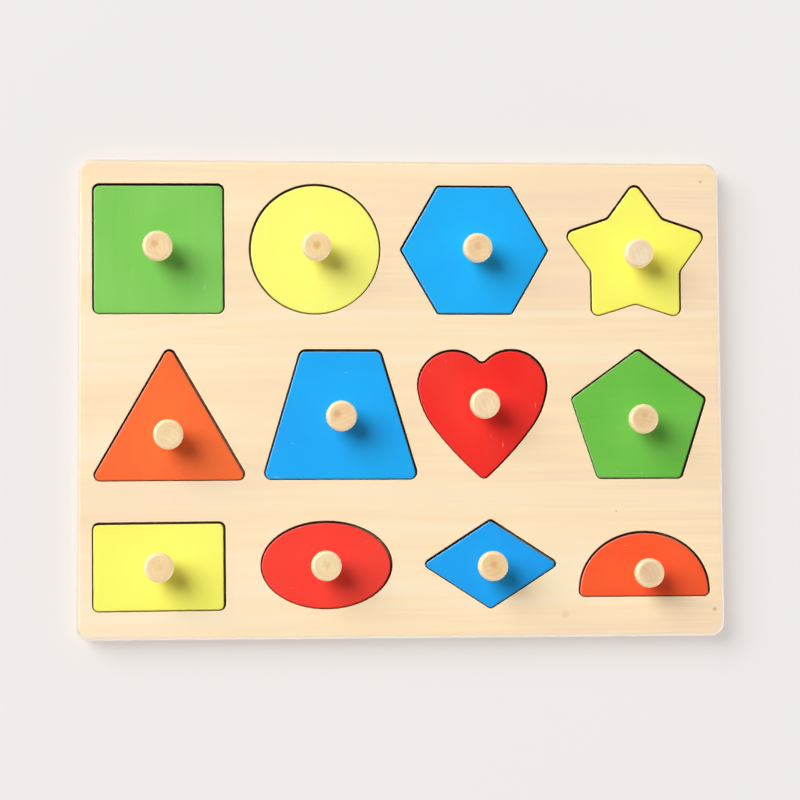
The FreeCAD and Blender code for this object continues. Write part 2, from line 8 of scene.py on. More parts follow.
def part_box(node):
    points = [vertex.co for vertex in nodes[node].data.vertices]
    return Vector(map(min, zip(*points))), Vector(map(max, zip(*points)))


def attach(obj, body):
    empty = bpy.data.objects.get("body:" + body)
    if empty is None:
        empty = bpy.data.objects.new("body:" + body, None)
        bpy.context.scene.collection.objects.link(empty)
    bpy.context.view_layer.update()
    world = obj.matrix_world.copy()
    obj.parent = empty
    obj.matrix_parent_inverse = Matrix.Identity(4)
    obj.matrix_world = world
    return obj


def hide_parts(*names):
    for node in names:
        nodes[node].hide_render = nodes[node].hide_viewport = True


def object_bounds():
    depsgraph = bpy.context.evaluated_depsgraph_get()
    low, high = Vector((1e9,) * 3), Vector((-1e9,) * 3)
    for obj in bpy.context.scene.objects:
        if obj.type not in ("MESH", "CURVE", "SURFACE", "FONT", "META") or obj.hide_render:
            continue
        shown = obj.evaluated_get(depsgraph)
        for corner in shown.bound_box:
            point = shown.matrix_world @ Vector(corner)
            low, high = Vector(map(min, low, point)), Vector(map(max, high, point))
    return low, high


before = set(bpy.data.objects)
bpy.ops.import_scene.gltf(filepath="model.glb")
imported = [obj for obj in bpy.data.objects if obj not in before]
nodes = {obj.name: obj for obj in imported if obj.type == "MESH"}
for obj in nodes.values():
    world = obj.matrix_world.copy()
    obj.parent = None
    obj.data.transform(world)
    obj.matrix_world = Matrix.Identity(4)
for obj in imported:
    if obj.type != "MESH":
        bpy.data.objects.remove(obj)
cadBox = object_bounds()
print("the packed puzzle is loaded:", len(nodes), "nodes")

random.seed(12)
millimetre = 0.001  # the scene is in metres
shapes = [name[:-len("_piece")] for name in sorted(nodes) if name.endswith("_piece")]
halfLength = cadBox[1].x
halfWidth = cadBox[1].y


# Camera, looking almost straight down on the board
cameraLook = {
    "place": (-0.0826, -0.0756, 1.0682),
    "aim": (-0.0011, -0.0010, 0.009),
    "rollDegrees": -0.348,
    "lens": 103.28,
    "sensor": 36.0,
    "nearest": 10 * millimetre,
}


def makeCamera():
    data = bpy.data.cameras.new("camera")
    data.sensor_width = cameraLook["sensor"]
    data.lens = cameraLook["lens"]
    data.clip_start = cameraLook["nearest"]
    camera = bpy.data.objects.new("camera", data)
    bpy.context.scene.collection.objects.link(camera)
    place = Vector(cameraLook["place"])
    forward = (Vector(cameraLook["aim"]) - place).normalized()
    levelRight = forward.cross(Vector((0, 1, 0))).normalized()
    levelUp = levelRight.cross(forward)
    roll = math.radians(cameraLook["rollDegrees"])
    right = levelRight * math.cos(roll) + levelUp * math.sin(roll)
    up = right.cross(forward)
    turn = Matrix((right, up, -forward)).transposed()
    camera.matrix_world = Matrix.Translation(place) @ turn.to_4x4()
    bpy.context.scene.camera = camera


makeCamera()
bpy.context.scene.view_settings.view_transform = "Standard"
print("camera placed")


# Colours and nodes, with the settings that many nodes share
colourMix = {"data_type": "RGBA"}
numberMix = {"data_type": "FLOAT"}
softRise = {"interpolation_type": "SMOOTHSTEP"}


def hexColour(text):
    # sRGB hex to the linear values that shaders work in
    parts = [int(text[start:start + 2], 16) / 255 for start in (1, 3, 5)]
    linear = [part / 12.92 if part <= 0.04045 else ((part + 0.055) / 1.055) ** 2.4 for part in parts]
    return (*linear, 1.0)


def addNode(tree, kind, settings=None, **inputs):
    # one node with its settings; each input goes by the socket's name, or by n and its number where
    # sockets share a name, and is a value, a hex colour, a socket or another node
    node = tree.nodes.new(kind)
    for name, value in (settings or {}).items():
        if name == "stops":
            ramp = node.color_ramp
            while len(ramp.elements) < len(value):
                ramp.elements.new(1.0)
            for element, (place, colour) in zip(ramp.elements, value):
                element.position = place
                element.color = hexColour(colour)
        else:
            setattr(node, name, value)
    for name, value in inputs.items():
        if name[0] == "n" and name[1:].isdigit():
            socket = node.inputs[int(name[1:])]
        else:
            words = name.replace("_", " ")
            socket = next(entry for entry in node.inputs if entry.enabled and entry.name == words)
        if isinstance(value, bpy.types.Node):
            value = next(output for output in value.outputs if output.enabled)
        if isinstance(value, bpy.types.NodeSocket):
            tree.links.new(value, socket)
        elif isinstance(value, str):
            socket.default_value = hexColour(value)
        else:
            socket.default_value = value
    return node


def newMaterial(name):
    material = bpy.data.materials.new(name)
    material.use_nodes = True
    material.node_tree.nodes.clear()
    return material, material.node_tree


def finishSurface(tree, look, colour, height):
    # the shader that every wood and paint ends in, with the relief that can just be felt
    relief = addNode(tree, "ShaderNodeBump", Height=height, Strength=look["reliefStrength"],
                     Distance=look["reliefHeight"])
    shader = addNode(tree, "ShaderNodeBsdfPrincipled", Base_Color=colour, Roughness=look["roughness"],
                     Normal=relief, Specular_IOR_Level=look["gloss"])
    addNode(tree, "ShaderNodeOutputMaterial", Surface=shader)


# Stage: a pale floor, a large soft lamp from the upper left with a long low strip across it, and a
# dim room whose walls shine most where a white card stands opposite the lamps
stageLook = {
    "floorColour": "#F2EEEB",
    "floorSize": 5.0,
    "floorGlow": 0.57,
    "roomColour": "#F8EDEC",
    "ceilingLight": 0.095,
    "wallLight": 1.9,
    "wallSteepness": 16.0,
    "cardShare": 20.0,
    "lampDistance": 10.0,
    "lampTurn": 144.5,
}
# Each lamp's power in watts, its width, its height, and how many degrees it stands above the floor
lampSizes = {
    "window lamp": (1345.0, 7.75, 9.9, 36.5),
    "low strip lamp": (390.0, 20.0, 2.42, 27.6),
}


def backdropRays(tree):
    # 1 for what the camera, a gloss or a glass sees of the surroundings, 0 for what lights the toy
    path = addNode(tree, "ShaderNodeLightPath").outputs
    seen = addNode(tree, "ShaderNodeMath", {"operation": "MAXIMUM"}, n0=path["Is Camera Ray"],
                   n1=path["Is Glossy Ray"])
    return addNode(tree, "ShaderNodeMath", {"operation": "MAXIMUM"}, n0=seen,
                   n1=path["Is Transmission Ray"])


def makeFloor():
    bpy.ops.mesh.primitive_plane_add(size=stageLook["floorSize"], location=(0, 0, 0))
    floor = bpy.context.object
    floor.name = "floor"
    material, tree = newMaterial("matt pale card")
    card = addNode(tree, "ShaderNodeBsdfDiffuse", Color=stageLook["floorColour"])
    glow = addNode(tree, "ShaderNodeEmission", Color=stageLook["floorColour"], Strength=1.0)
    share = addNode(tree, "ShaderNodeMath", {"operation": "MULTIPLY"}, n0=backdropRays(tree),
                    n1=stageLook["floorGlow"])
    shader = addNode(tree, "ShaderNodeMixShader", Fac=share, n1=card, n2=glow)
    addNode(tree, "ShaderNodeOutputMaterial", Surface=shader)
    floor.data.materials.append(material)


def makeRoom():
    # the walls are brightest low down, so that edges are lit from the side too
    world = bpy.data.worlds.new("white room")
    world.use_nodes = True
    tree = world.node_tree
    tree.nodes.clear()
    towards = addNode(tree, "ShaderNodeTexCoord").outputs["Generated"]
    apart = addNode(tree, "ShaderNodeSeparateXYZ", Vector=towards).outputs
    rise = addNode(tree, "ShaderNodeMath", {"operation": "ABSOLUTE"}, n0=apart["Z"])
    lowness = addNode(tree, "ShaderNodeMath", {"operation": "SUBTRACT"}, n0=1.0, n1=rise)
    wall = addNode(tree, "ShaderNodeMath", {"operation": "POWER"}, n0=lowness,
                   n1=stageLook["wallSteepness"])
    cardTurn = math.radians(stageLook["lampTurn"] + 180)
    facing = addNode(tree, "ShaderNodeVectorMath", {"operation": "DOT_PRODUCT"}, n0=towards,
                     n1=(math.cos(cardTurn), math.sin(cardTurn), 0))
    card = addNode(tree, "ShaderNodeMapRange", Value=facing, To_Min=1.0,
                   To_Max=1.0 + stageLook["cardShare"])
    shine = addNode(tree, "ShaderNodeMath", {"operation": "MULTIPLY"}, n0=wall, n1=card)
    strength = addNode(tree, "ShaderNodeMapRange", {"clamp": False}, Value=shine,
                       To_Min=stageLook["ceilingLight"], To_Max=stageLook["wallLight"])
    light = addNode(tree, "ShaderNodeBackground", Color=stageLook["roomColour"], Strength=strength)
    seen = addNode(tree, "ShaderNodeBackground", Color=stageLook["floorColour"], Strength=1.0)
    mix = addNode(tree, "ShaderNodeMixShader", Fac=backdropRays(tree), n1=light, n2=seen)
    addNode(tree, "ShaderNodeOutputWorld", Surface=mix)
    bpy.context.scene.world = world


def makeLamp(name):
    power, width, height, riseDegrees = lampSizes[name]
    data = bpy.data.lights.new(name, "AREA")
    data.shape = "ELLIPSE"
    data.size = width
    data.size_y = height
    data.energy = power
    lamp = bpy.data.objects.new(name, data)
    bpy.context.scene.collection.objects.link(lamp)
    turn = math.radians(stageLook["lampTurn"])
    rise = math.radians(riseDegrees)
    towards = Vector((math.cos(turn) * math.cos(rise), math.sin(turn) * math.cos(rise), math.sin(rise)))
    lamp.location = towards * stageLook["lampDistance"]
    lamp.rotation_euler = towards.to_track_quat("Z", "Y").to_euler()


makeFloor()
makeRoom()
for lampName in lampSizes:
    makeLamp(lampName)
print("floor and light are in")


# Turned knobs, one for each piece, with tenon, neck and head in one
knobShape = {
    "sides": 72,
    "tenonRadius": 3.0 * millimetre,
    "tenonChamfer": 0.4 * millimetre,
    "footRadius": 4.9 * millimetre,
    "footChamfer": 0.3 * millimetre,
    "neckRadius": 4.1 * millimetre,
    "coveRadius": 1.37 * millimetre,
    "headThickness": 5.5 * millimetre,
    "lipRadius": 1.24 * millimetre,
    "rimRadius": 1.8 * millimetre,
    "chamferSteps": 2,
    "roundingSteps": 7,
    "smoothDegrees": 50,
    "grooveRadii": (4.3 * millimetre, 2.6 * millimetre, 1.1 * millimetre),
    "grooveWidth": 0.35 * millimetre,
    "grooveDepth": 0.07 * millimetre,
    "dish": 0.12 * millimetre,
}
# How much wider each hand-turned head came out than the pattern
knobWidths = {
    "square": 1.005, "circle": 0.99, "hexagon": 0.985, "star": 0.985, "triangle": 1.0, "trapezium": 1.025,
    "heart": 1.005, "pentagon": 0.99, "rectangle": 0.995, "oval": 1.01, "rhombus": 1.0, "semicircle": 0.98,
}
knobLow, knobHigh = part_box("square_knob")
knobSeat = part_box("square_piece")[1].z
headRadius = (knobHigh.x - knobLow.x) / 2
headTop = knobHigh.z - knobSeat
headUnderside = headTop - knobShape["headThickness"]
tenonEnd = knobLow.z - knobSeat


def selectRing(mesh, radius, height, near=0.01 * millimetre):
    # the edges that run round the axis at one radius and height
    bpy.ops.mesh.select_all(action="DESELECT")
    bpy.ops.object.mode_set(mode="OBJECT")
    for edge in mesh.edges:
        ends = [mesh.vertices[index].co for index in edge.vertices]
        edge.select = all(abs(math.hypot(end.x, end.y) - radius) < near and abs(end.z - height) < near
                          for end in ends)
    bpy.ops.object.mode_set(mode="EDIT")


def turnKnob():
    # a disc is drawn up along the axis, station by station, then its edges are rounded
    bpy.ops.object.select_all(action="DESELECT")
    bpy.ops.mesh.primitive_circle_add(vertices=knobShape["sides"], radius=knobShape["tenonRadius"],
                                      fill_type="NGON", location=(0, 0, tenonEnd))
    knob = bpy.context.object
    bpy.ops.object.transform_apply(location=True)
    bpy.ops.object.mode_set(mode="EDIT")
    bpy.ops.mesh.select_mode(type="FACE")
    bpy.ops.mesh.select_all(action="SELECT")
    radius, height = knobShape["tenonRadius"], tenonEnd
    stations = [(knobShape["tenonRadius"], 0), (knobShape["footRadius"], 0),
                (knobShape["neckRadius"], headUnderside), (headRadius, headUnderside),
                (headRadius, headTop)]
    for nextRadius, nextHeight in stations:
        widen = nextRadius / radius
        bpy.ops.mesh.extrude_region_move(TRANSFORM_OT_translate={"value": (0, 0, nextHeight - height)})
        bpy.ops.transform.resize(value=(widen, widen, 1), center_override=(0, 0, nextHeight))
        radius, height = nextRadius, nextHeight
    bpy.ops.mesh.select_all(action="SELECT")
    bpy.ops.mesh.normals_make_consistent(inside=False)
    bpy.ops.mesh.select_mode(type="EDGE")
    # each edge's radius and height, how far it is rounded, and in how many steps
    rounds = [(knobShape["tenonRadius"], tenonEnd, "tenonChamfer", "chamferSteps"),
              (knobShape["footRadius"], 0, "footChamfer", "chamferSteps"),
              (knobShape["neckRadius"], headUnderside, "coveRadius", "roundingSteps"),
              (headRadius, headUnderside, "lipRadius", "roundingSteps"),
              (headRadius, headTop, "rimRadius", "roundingSteps")]
    for radius, height, size, steps in rounds:
        selectRing(knob.data, radius, height)
        bpy.ops.mesh.bevel(offset=knobShape[size], offset_type="OFFSET", profile=0.5, affect="EDGES",
                           segments=knobShape[steps])
    cutTurningMarks(knob)
    bpy.ops.object.mode_set(mode="OBJECT")
    bpy.ops.object.shade_smooth_by_angle(angle=math.radians(knobShape["smoothDegrees"]))
    print("knob turned:", len(knob.data.polygons), "faces")
    return knob


def cutTurningMarks(knob):
    # the chisel leaves the top a little dished, with shallow rings round its middle
    flatRadius = headRadius - knobShape["rimRadius"]
    bpy.ops.mesh.select_mode(type="FACE")
    bpy.ops.mesh.select_all(action="DESELECT")
    bpy.ops.object.mode_set(mode="OBJECT")
    top = max(knob.data.polygons, key=lambda face: face.center.z)
    top.select = True
    bpy.ops.object.mode_set(mode="EDIT")
    radius = flatRadius
    width, depth = knobShape["grooveWidth"], knobShape["grooveDepth"]
    sideShare = math.cos(math.pi / knobShape["sides"])  # an inset is measured at a side's middle
    for groove in knobShape["grooveRadii"]:
        sink = knobShape["dish"] * (radius - groove) / flatRadius
        for nextRadius, drop in ((groove + width, sink), (groove, depth), (groove - width, -depth)):
            bpy.ops.mesh.inset(thickness=(radius - nextRadius) * sideShare, depth=-drop)
            radius = nextRadius
    bpy.ops.mesh.poke()


def placeKnob(pattern, shape):
    bpy.ops.object.select_all(action="DESELECT")
    pattern.select_set(True)
    bpy.context.view_layer.objects.active = pattern
    bpy.ops.object.duplicate(linked=False)
    knob = bpy.context.object
    knob.name = f"{shape}_turned_knob"
    low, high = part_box(f"{shape}_knob")
    turn = random.uniform(0, 2 * math.pi)
    knob.location = ((low.x + high.x) / 2, (low.y + high.y) / 2, knobSeat)
    knob.rotation_euler = (0, 0, turn)
    knob.scale = (knobWidths[shape], knobWidths[shape], 1)
    bpy.ops.object.transform_apply(location=True, rotation=True, scale=True)
    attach(knob, f"{shape}_insert")
    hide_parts(f"{shape}_knob")
    return knob


def makeKnobs():
    # each copy keeps where its points lay on the pattern, so that its grain turns with it
    pattern = turnKnob()
    dowel = pattern.data.attributes.new("dowel", "FLOAT_VECTOR", "POINT")
    for index, vertex in enumerate(pattern.data.vertices):
        dowel.data[index].vector = vertex.co
    knobs = {shape: placeKnob(pattern, shape) for shape in shapes}
    bpy.data.objects.remove(pattern)
    return knobs


knobs = makeKnobs()
print("twelve knobs are seated")


# Parts of the grain that several woods share
def grainNoise(tree, look, name, place, start=(0, 0, 0), sway=0.0):
    # noise drawn out along X, as long, as wide and as fine as the piece's own dictionary says
    along, across = 1 / look[f"{name}Length"], 1 / look[f"{name}Width"]
    line = addNode(tree, "ShaderNodeMapping", Vector=place, Scale=(along, across, across),
                   Location=start)
    return addNode(tree, "ShaderNodeTexNoise", Vector=line, Scale=1.0, Detail=look[f"{name}Detail"],
                   Distortion=sway)


def swayingRings(tree, distance, wander, sway, gap):
    # waves from -1 to 1 at an even gap along a distance, pushed to and fro by a noise
    swayed = addNode(tree, "ShaderNodeMath", {"operation": "MULTIPLY_ADD"}, n0=wander, n1=sway,
                     n2=distance)
    phase = addNode(tree, "ShaderNodeMath", {"operation": "MULTIPLY"}, n0=swayed, n1=2 * math.pi / gap)
    return addNode(tree, "ShaderNodeMath", {"operation": "SINE"}, n0=phase)


def plyEdges(tree, look, height):
    # plies seen on edge, every second one as darker end grain, with a glue line under each
    depth = addNode(tree, "ShaderNodeMath", {"operation": "DIVIDE"}, n0=height, n1=look["ply"])
    inPly = addNode(tree, "ShaderNodeMath", {"operation": "FRACT"}, n0=depth)
    inPair = addNode(tree, "ShaderNodeMath", {"operation": "DIVIDE"}, n0=depth, n1=2.0)
    inPair = addNode(tree, "ShaderNodeMath", {"operation": "FRACT"}, n0=inPair)
    second = addNode(tree, "ShaderNodeMath", {"operation": "GREATER_THAN"}, n0=inPair, n1=0.5)
    plies = addNode(tree, "ShaderNodeMix", colourMix, Factor=second, A=look["edgeTone"],
                    B=look["plyTone"])
    glue = addNode(tree, "ShaderNodeMath", {"operation": "LESS_THAN"}, n0=inPly,
                   n1=look["glueLine"] / look["ply"])
    return addNode(tree, "ShaderNodeMix", colourMix, Factor=glue, A=plies, B=look["glueTone"])


# Board: basswood plywood, sanded under a clear matt lacquer. It is creamy and almost even, with faint
# long streaks, and the laser has toasted the walls of the recesses dark brown, a tone that also stands as
# painted shade in the gaps. The rim, the walls that face the lamps and the right end carry painted light
# and shade. A tilt is 1 where the surface lies level and 0 where it stands upright.
boardWood = {
    "ruddyTone": "#F9DDBD",
    "warmTone": "#FCE2BD",
    "midTone": "#FFE7BD",
    "paleTone": "#FFEDCD",
    "toneStops": (0.30, 0.42, 0.52, 0.66),
    "bandLength": 230 * millimetre,
    "bandWidth": 24 * millimetre,
    "bandDetail": 2.0,
    "streakLength": 70 * millimetre,
    "streakWidth": 1.7 * millimetre,
    "streakDetail": 3.0,
    "fibreLength": 10 * millimetre,
    "fibreWidth": 0.45 * millimetre,
    "fibreDetail": 2.0,
    "fibreShare": 0.10,
    "grainSway": 0.4,
    # a calm noise says where the streaks begin to show and where they show most
    "calmLength": 110 * millimetre,
    "calmWidth": 45 * millimetre,
    "calmDetail": 0.0,
    "livelyFrom": 0.44,
    "livelyTo": 0.66,
    "calmStreaks": 0.04,
    "livelyStreaks": 0.47,
    # how much livelier the board's right end is than its middle, and how much darker and ruddier it is
    # painted there as shade
    "livelyShift": 0.14,
    "rightEndShade": 0.08,
    # growth rings
    "ringGap": 7.5 * millimetre,
    "ringSway": 16 * millimetre,
    "ringSwayLength": 170 * millimetre,
    "ringSwayWidth": 60 * millimetre,
    "ringSwayDetail": 1.0,
    "ringShare": 0.05,
    # small marks
    "pinTone": "#C4A784",
    "spotTone": "#F0D2A0",
    "markStrength": 0.75,
    "markCore": 0.3,
    # outer edges, which lie within this reach of the board's ends and sides
    "edgeReach": 4.5 * millimetre,
    "edgeTone": "#CFB48C",
    "plyTone": "#B59164",
    "glueTone": "#85603A",
    "ply": 1.5 * millimetre,
    "glueLine": 0.16 * millimetre,
    "edgeFromTilt": 0.25,
    "edgeToTilt": 0.05,
    # the rounded rim above them, painted paler than the face as light, and darker on the side that faces
    # the lamps
    "shadedRimTone": "#F0EBDB",
    "litRimTone": "#CABFAB",
    "rimFromTilt": 0.999,
    "rimToTilt": 0.86,
    "rimStrength": 0.95,
    "rimTurn": 0.35,  # how far it turns to or from the lamps for the whole change of tone
    # walls of the recesses, where stops go by how upright the wall stands; their dark toasting is also
    # painted shade in the gaps
    "scorchTone": "#A87748",
    "toastAndShadeTone": "#55301A",
    # a paler tone painted as light on the walls that face the lamps
    "litWallTone": "#C49A68",
    "wallFromTilt": 0.8,
    "wallToTilt": 0.2,
    "wallMouth": 0.02,
    "scorchStop": 0.35,
    "toastAndShadeStop": 0.8,
    # how far a wall turns towards the board's long upper edge before it is painted paler as light, and by
    # how much
    "litWallFrom": 0.3,
    "litWallTo": 0.8,
    "litWallShare": 0.8,
    "roughness": 0.55,
    "gloss": 0.35,
    "reliefStrength": 0.12,
    "reliefHeight": 0.08 * millimetre,
}
# Small marks in the wood: where they are, their radius, and whether they are pins or pale knots
boardMarks = [
    (141.6 * millimetre, 102.1 * millimetre, 1.0 * millimetre, "pinTone"),
    (145.4 * millimetre, -98.7 * millimetre, 1.2 * millimetre, "pinTone"),
    (99.6 * millimetre, -52.9 * millimetre, 0.6 * millimetre, "pinTone"),
    (75.1 * millimetre, -100.5 * millimetre, 2.6 * millimetre, "spotTone"),
]
# Pale growth lines: where they run level, how far they have bent down at the board's left end, how
# far they reach to either side, and how strong they are
paleLines = [
    (39.5 * millimetre, 13.0 * millimetre, 2.6 * millimetre, 0.7),
    (84.0 * millimetre, 5.0 * millimetre, 1.2 * millimetre, 0.35),
    (-9.0 * millimetre, -3.0 * millimetre, 1.6 * millimetre, 0.2),
    (-46.0 * millimetre, 0.0 * millimetre, 11.0 * millimetre, 0.32),
]


def boardGrain(tree, place, apart):
    # broad bands, long streaks and short fibres, all along X
    look = boardWood
    grain = {name: grainNoise(tree, look, name, place, sway=look["grainSway"])
             for name in ("band", "streak", "fibre", "calm")}
    # the streaks show in some places and fade out in others, and are strongest towards the right end
    lively = addNode(tree, "ShaderNodeMath", {"operation": "MULTIPLY_ADD"}, n0=apart["X"],
                     n1=look["livelyShift"] / halfLength, n2=grain["calm"])
    lively = addNode(tree, "ShaderNodeMapRange", Value=lively, From_Min=look["livelyFrom"],
                     From_Max=look["livelyTo"], To_Min=look["calmStreaks"], To_Max=look["livelyStreaks"])
    mixed = addNode(tree, "ShaderNodeMix", numberMix, Factor=lively, A=grain["band"], B=grain["streak"])
    # growth rings cut nearly flat: level lines that sway
    wander = grainNoise(tree, look, "ringSway", place)
    rings = swayingRings(tree, apart["Y"], wander, look["ringSway"], look["ringGap"])
    rings = addNode(tree, "ShaderNodeMapRange", Value=rings, From_Min=-1.0, From_Max=1.0)
    mixed = addNode(tree, "ShaderNodeMix", numberMix, Factor=look["ringShare"], A=mixed, B=rings)
    mixed = addNode(tree, "ShaderNodeMix", numberMix, Factor=look["fibreShare"], A=mixed,
                    B=grain["fibre"])
    # painted shade: the board is a little darker and ruddier towards the right end, away from the lamps
    mixed = addNode(tree, "ShaderNodeMath", {"operation": "MULTIPLY_ADD"}, n0=apart["X"],
                    n1=-look["rightEndShade"] / halfLength, n2=mixed)
    tones = [look[name] for name in ("ruddyTone", "warmTone", "midTone", "paleTone")]
    tone = addNode(tree, "ShaderNodeValToRGB", {"stops": list(zip(look["toneStops"], tones))}, Fac=mixed)
    return tone, grain["fibre"]


def addPaleLines(tree, apart, tone):
    left = addNode(tree, "ShaderNodeMath", {"operation": "MINIMUM"}, n0=apart["X"], n1=0.0)
    bow = addNode(tree, "ShaderNodeMath", {"operation": "MULTIPLY"}, n0=left, n1=left)
    for height, bend, reach, strength in paleLines:
        level = addNode(tree, "ShaderNodeMath", {"operation": "MULTIPLY_ADD"}, n0=bow,
                        n1=bend / halfLength ** 2, n2=apart["Y"])
        away = addNode(tree, "ShaderNodeMath", {"operation": "SUBTRACT"}, n0=level, n1=height)
        away = addNode(tree, "ShaderNodeMath", {"operation": "ABSOLUTE"}, n0=away)
        line = addNode(tree, "ShaderNodeMapRange", softRise, Value=away, From_Min=reach, From_Max=0.0,
                       To_Max=strength)
        tone = addNode(tree, "ShaderNodeMix", colourMix, Factor=line, A=tone, B=boardWood["paleTone"])
    return tone


def addMarks(tree, apart, tone):
    flat = addNode(tree, "ShaderNodeCombineXYZ", X=apart["X"], Y=apart["Y"])
    for x, y, radius, toneName in boardMarks:
        away = addNode(tree, "ShaderNodeVectorMath", {"operation": "DISTANCE"}, n0=flat, n1=(x, y, 0))
        mark = addNode(tree, "ShaderNodeMapRange", softRise, Value=away, From_Min=radius,
                       From_Max=radius * boardWood["markCore"], To_Max=boardWood["markStrength"])
        tone = addNode(tree, "ShaderNodeMix", colourMix, Factor=mark, A=tone, B=boardWood[toneName])
    return tone


def outerEdges(tree, apart, normal, tilt, tone):
    # painted light and shade: the rounded rim is paler than the face, most of all away from the lamps, and
    # darker on the side that faces them
    look = boardWood
    turnedAway = addNode(tree, "ShaderNodeMath", {"operation": "SUBTRACT"}, n0=normal["X"],
                         n1=normal["Y"])
    shaded = addNode(tree, "ShaderNodeMapRange", Value=turnedAway, From_Min=-look["rimTurn"],
                     From_Max=look["rimTurn"])
    # painted light and shade: the rim's tone runs from the darker one where it faces the lamps to the
    # paler one where it turns away
    edgeTint = addNode(tree, "ShaderNodeMix", colourMix, Factor=shaded, A=look["litRimTone"],
                   B=look["shadedRimTone"])
    rim = addNode(tree, "ShaderNodeMapRange", softRise, Value=tilt, From_Min=look["rimFromTilt"],
                  From_Max=look["rimToTilt"], To_Max=look["rimStrength"])
    rounded = addNode(tree, "ShaderNodeMix", colourMix, Factor=rim, A=tone, B=edgeTint)
    side = addNode(tree, "ShaderNodeMapRange", softRise, Value=tilt, From_Min=look["edgeFromTilt"],
                   From_Max=look["edgeToTilt"])
    return addNode(tree, "ShaderNodeMix", colourMix, Factor=side, A=rounded,
                   B=plyEdges(tree, look, apart["Z"]))


def recessWalls(tree, normal, tilt, tone):
    # toasted walls, whose dark tone is partly painted shade in the deep gaps, with a paler scorched line
    # at their mouths
    look = boardWood
    upright = addNode(tree, "ShaderNodeMapRange", softRise, Value=tilt, From_Min=look["wallFromTilt"],
                      From_Max=look["wallToTilt"])
    # the darkest stop is toasting and painted shade in the gaps
    stops = [(0.0, look["warmTone"]), (look["scorchStop"], look["scorchTone"]),
             (look["toastAndShadeStop"], look["toastAndShadeTone"])]
    walls = addNode(tree, "ShaderNodeValToRGB", {"stops": stops}, Fac=upright)
    # painted light: the walls that face the board's long upper edge, towards the lamps, are paler
    litWalls = addNode(tree, "ShaderNodeMapRange", Value=normal["Y"], From_Min=look["litWallFrom"],
                    From_Max=look["litWallTo"], To_Max=look["litWallShare"])
    walls = addNode(tree, "ShaderNodeMix", colourMix, Factor=litWalls, A=walls, B=look["litWallTone"])
    inWall = addNode(tree, "ShaderNodeMath", {"operation": "GREATER_THAN"}, n0=upright,
                     n1=look["wallMouth"])
    return addNode(tree, "ShaderNodeMix", colourMix, Factor=inWall, A=tone, B=walls)


def makeFrameWood():
    material, tree = newMaterial("matt lacquered basswood ply, laser-cut")
    look = boardWood
    coordinates = addNode(tree, "ShaderNodeTexCoord").outputs
    apart = addNode(tree, "ShaderNodeSeparateXYZ", Vector=coordinates["Object"]).outputs
    normal = addNode(tree, "ShaderNodeSeparateXYZ", Vector=coordinates["Normal"]).outputs
    tilt = addNode(tree, "ShaderNodeMath", {"operation": "ABSOLUTE"}, n0=normal["Z"])
    tone, fibres = boardGrain(tree, coordinates["Object"], apart)
    tone = addPaleLines(tree, apart, tone)
    tone = addMarks(tree, apart, tone)
    # what lies near the board's ends and sides is its outer edge, and the rest has the recesses
    reach = []
    for axis, end in (("X", halfLength), ("Y", halfWidth)):
        away = addNode(tree, "ShaderNodeMath", {"operation": "ABSOLUTE"}, n0=apart[axis])
        reach.append(addNode(tree, "ShaderNodeMath", {"operation": "SUBTRACT"}, n0=away,
                             n1=end - look["edgeReach"]))
    outer = addNode(tree, "ShaderNodeMath", {"operation": "MAXIMUM"}, n0=reach[0], n1=reach[1])
    outer = addNode(tree, "ShaderNodeMath", {"operation": "GREATER_THAN"}, n0=outer, n1=0.0)
    colour = addNode(tree, "ShaderNodeMix", colourMix, Factor=outer,
                     A=recessWalls(tree, normal, tilt, tone),
                     B=outerEdges(tree, apart, normal, tilt, tone))
    finishSurface(tree, look, colour, fibres)
    return material


# Backing: thin birch ply, sanded and left bare. It is rougher than the frame and a little ruddier.
backingWood = {
    "darkTone": "#D9B07F",
    "midTone": "#E9CAA0",
    "paleTone": "#F2D9B4",
    "toneStops": (0.35, 0.5, 0.66),
    "streakLength": 55 * millimetre,
    "streakWidth": 2.2 * millimetre,
    "streakDetail": 4.0,
    "streakShare": 0.45,
    "flameLength": 120 * millimetre,
    "flameWidth": 26 * millimetre,
    "flameDetail": 4.0,
    "grainStart": (3.1, 7.7, 1.3),
    "grainSway": 0.8,
    "edgeTone": "#CFB086",
    "plyTone": "#B08A60",
    "glueTone": "#8A643C",
    "ply": 1.0 * millimetre,
    "glueLine": 0.14 * millimetre,
    "edgeFromTilt": 0.6,
    "edgeToTilt": 0.3,
    "roughness": 0.7,
    "gloss": 0.3,
    "reliefStrength": 0.25,
    "reliefHeight": 0.15 * millimetre,
}


def makeBackingWood():
    material, tree = newMaterial("bare birch ply")
    look = backingWood
    coordinates = addNode(tree, "ShaderNodeTexCoord").outputs
    apart = addNode(tree, "ShaderNodeSeparateXYZ", Vector=coordinates["Object"]).outputs
    normal = addNode(tree, "ShaderNodeSeparateXYZ", Vector=coordinates["Normal"]).outputs
    streaks, flames = (grainNoise(tree, look, name, coordinates["Object"], look["grainStart"],
                                  look["grainSway"]) for name in ("streak", "flame"))
    mixed = addNode(tree, "ShaderNodeMix", numberMix, Factor=look["streakShare"], A=flames, B=streaks)
    tones = [look[name] for name in ("darkTone", "midTone", "paleTone")]
    tone = addNode(tree, "ShaderNodeValToRGB", {"stops": list(zip(look["toneStops"], tones))}, Fac=mixed)
    tilt = addNode(tree, "ShaderNodeMath", {"operation": "ABSOLUTE"}, n0=normal["Z"])
    side = addNode(tree, "ShaderNodeMapRange", softRise, Value=tilt, From_Min=look["edgeFromTilt"],
                   From_Max=look["edgeToTilt"])
    colour = addNode(tree, "ShaderNodeMix", colourMix, Factor=side, A=tone,
                     B=plyEdges(tree, look, apart["Z"]))
    finishSurface(tree, look, colour, streaks)
    return material
